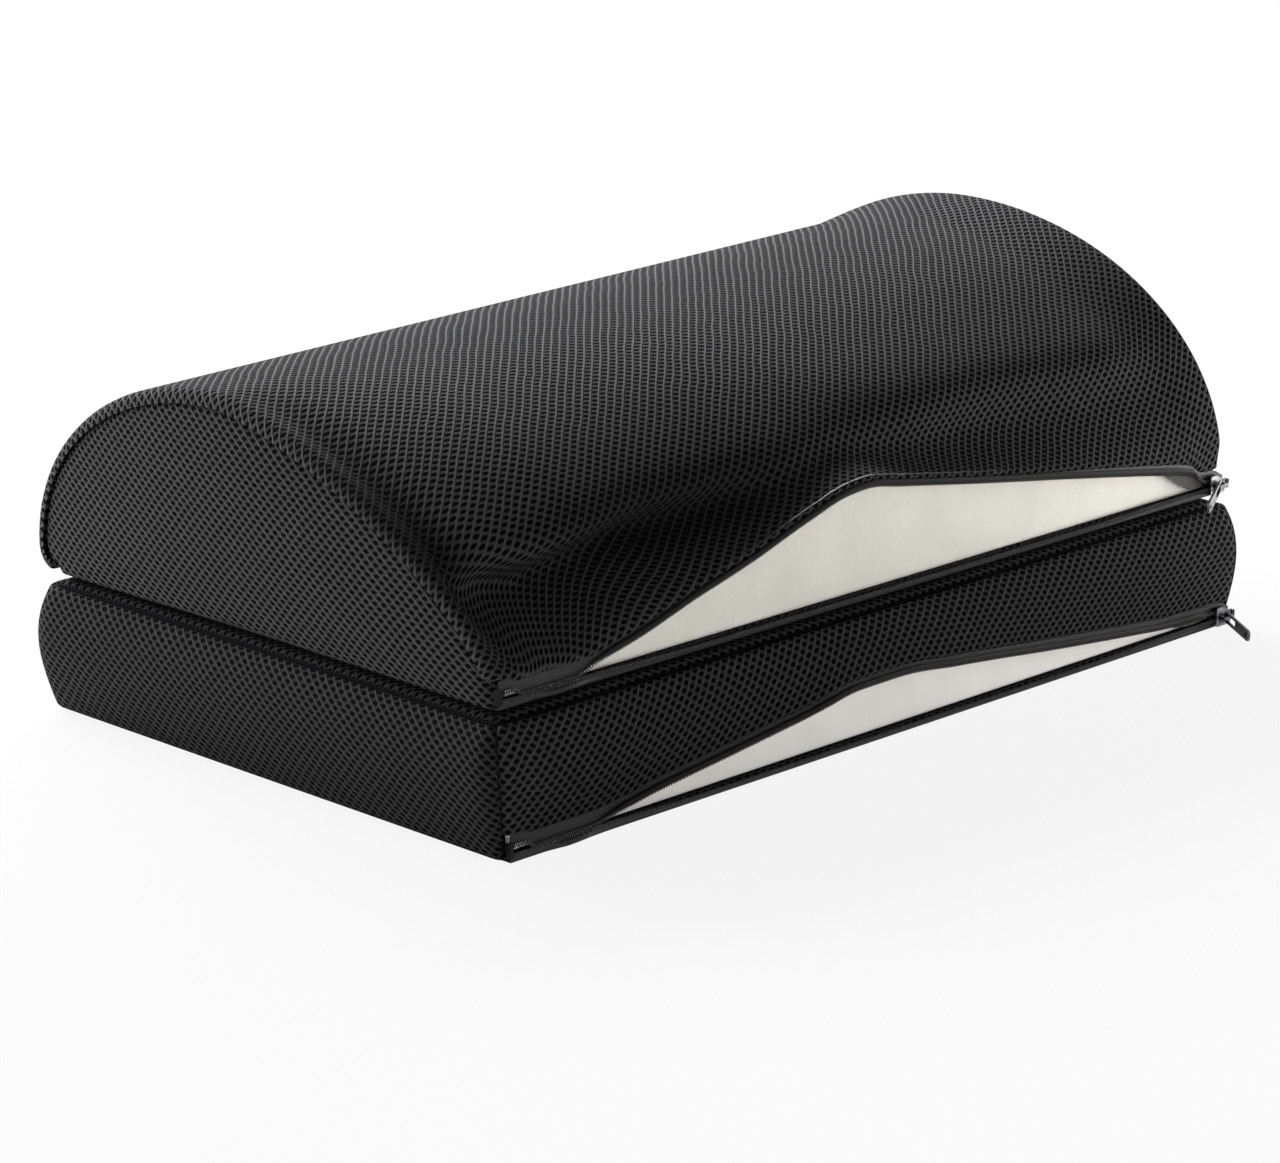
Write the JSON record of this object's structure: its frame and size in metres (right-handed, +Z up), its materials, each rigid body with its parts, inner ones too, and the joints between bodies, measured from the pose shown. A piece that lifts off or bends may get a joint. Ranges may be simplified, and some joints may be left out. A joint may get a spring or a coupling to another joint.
{
  "type": "foam foot cushion",
  "caption": "Half-round foam foot cushion on a removable flat base cushion, each in a black mesh cover with a long open front zip showing its foam core.",
  "frame": {"origin": "centre of the base cushion's underside, on the surface it stands on", "axes": "+X along the cushion towards the resting place of both zip sliders, -Y towards the side with the zips, +Z up"},
  "size_m": [0.4652, 0.3113, 0.1749],
  "materials": {
    "spacer_mesh": "black polyester spacer mesh with open cells",
    "foam": "off-white open-cell polyurethane foam",
    "zip_tape": "woven black polyester zip tape with a slight sheen",
    "zip_teeth": "black nylon coil teeth",
    "zip_metal": "black nickel on die-cast zinc",
    "hook_loop": "black hook and loop strip"
  },
  "bodies": {
    "base": {"base_foam_core": "foam", "base_cover_bottom": "spacer_mesh", "base_cover_top": "spacer_mesh", "base_cover_front": "spacer_mesh", "base_cover_back": "spacer_mesh", "base_cover_left": "spacer_mesh", "base_cover_right": "spacer_mesh", "loop_strip_front": "hook_loop", "loop_strip_back": "hook_loop", "base_zip_tape_lower": "zip_tape", "base_zip_tape_upper": "zip_tape", "base_zip_teeth_lower": "zip_teeth", "base_zip_teeth_upper": "zip_teeth", "base_zip_stop_left": "zip_metal", "base_zip_stop_right": "zip_metal"},
    "upper": {"upper_foam_core": "foam", "upper_cover_top": "spacer_mesh", "upper_cover_bottom": "spacer_mesh", "upper_cover_left": "spacer_mesh", "upper_cover_right": "spacer_mesh", "hook_strip_front": "hook_loop", "hook_strip_back": "hook_loop", "upper_zip_tape_lower": "zip_tape", "upper_zip_tape_upper": "zip_tape", "upper_zip_teeth_lower": "zip_teeth", "upper_zip_teeth_upper": "zip_teeth", "upper_zip_stop_left": "zip_metal", "upper_zip_stop_right": "zip_metal"},
    "base_slider": {"base_zip_slider": "zip_metal"},
    "base_pull": {"base_zip_pull": "zip_metal"},
    "upper_slider": {"upper_zip_slider": "zip_metal"},
    "upper_pull": {"upper_zip_pull": "zip_metal"}
  },
  "joints": [
    {"name": "upper_lift", "type": "slide", "parent": "base", "child": "upper", "axis": [0, 0, 1], "range_m": [0, 0.15]},
    {"name": "base_zip_close", "type": "slide", "parent": "base", "child": "base_slider", "axis": [-1, 0, 0], "range_m": [0, 0.431]},
    {"name": "base_pull_turn", "type": "hinge", "parent": "base_slider", "child": "base_pull", "pos_m": [0.2175, -0.14565, 0.00575], "axis": [0, 0, 1], "range_deg": [-56, 102]},
    {"name": "upper_zip_close", "type": "slide", "parent": "upper", "child": "upper_slider", "axis": [-1, 0, 0], "range_m": [0, 0.431]},
    {"name": "upper_pull_turn", "type": "hinge", "parent": "upper_slider", "child": "upper_pull", "pos_m": [0.2175, -0.13965, 0.06565], "axis": [0, 0, 1], "range_deg": [-15, 145]}
  ]
}
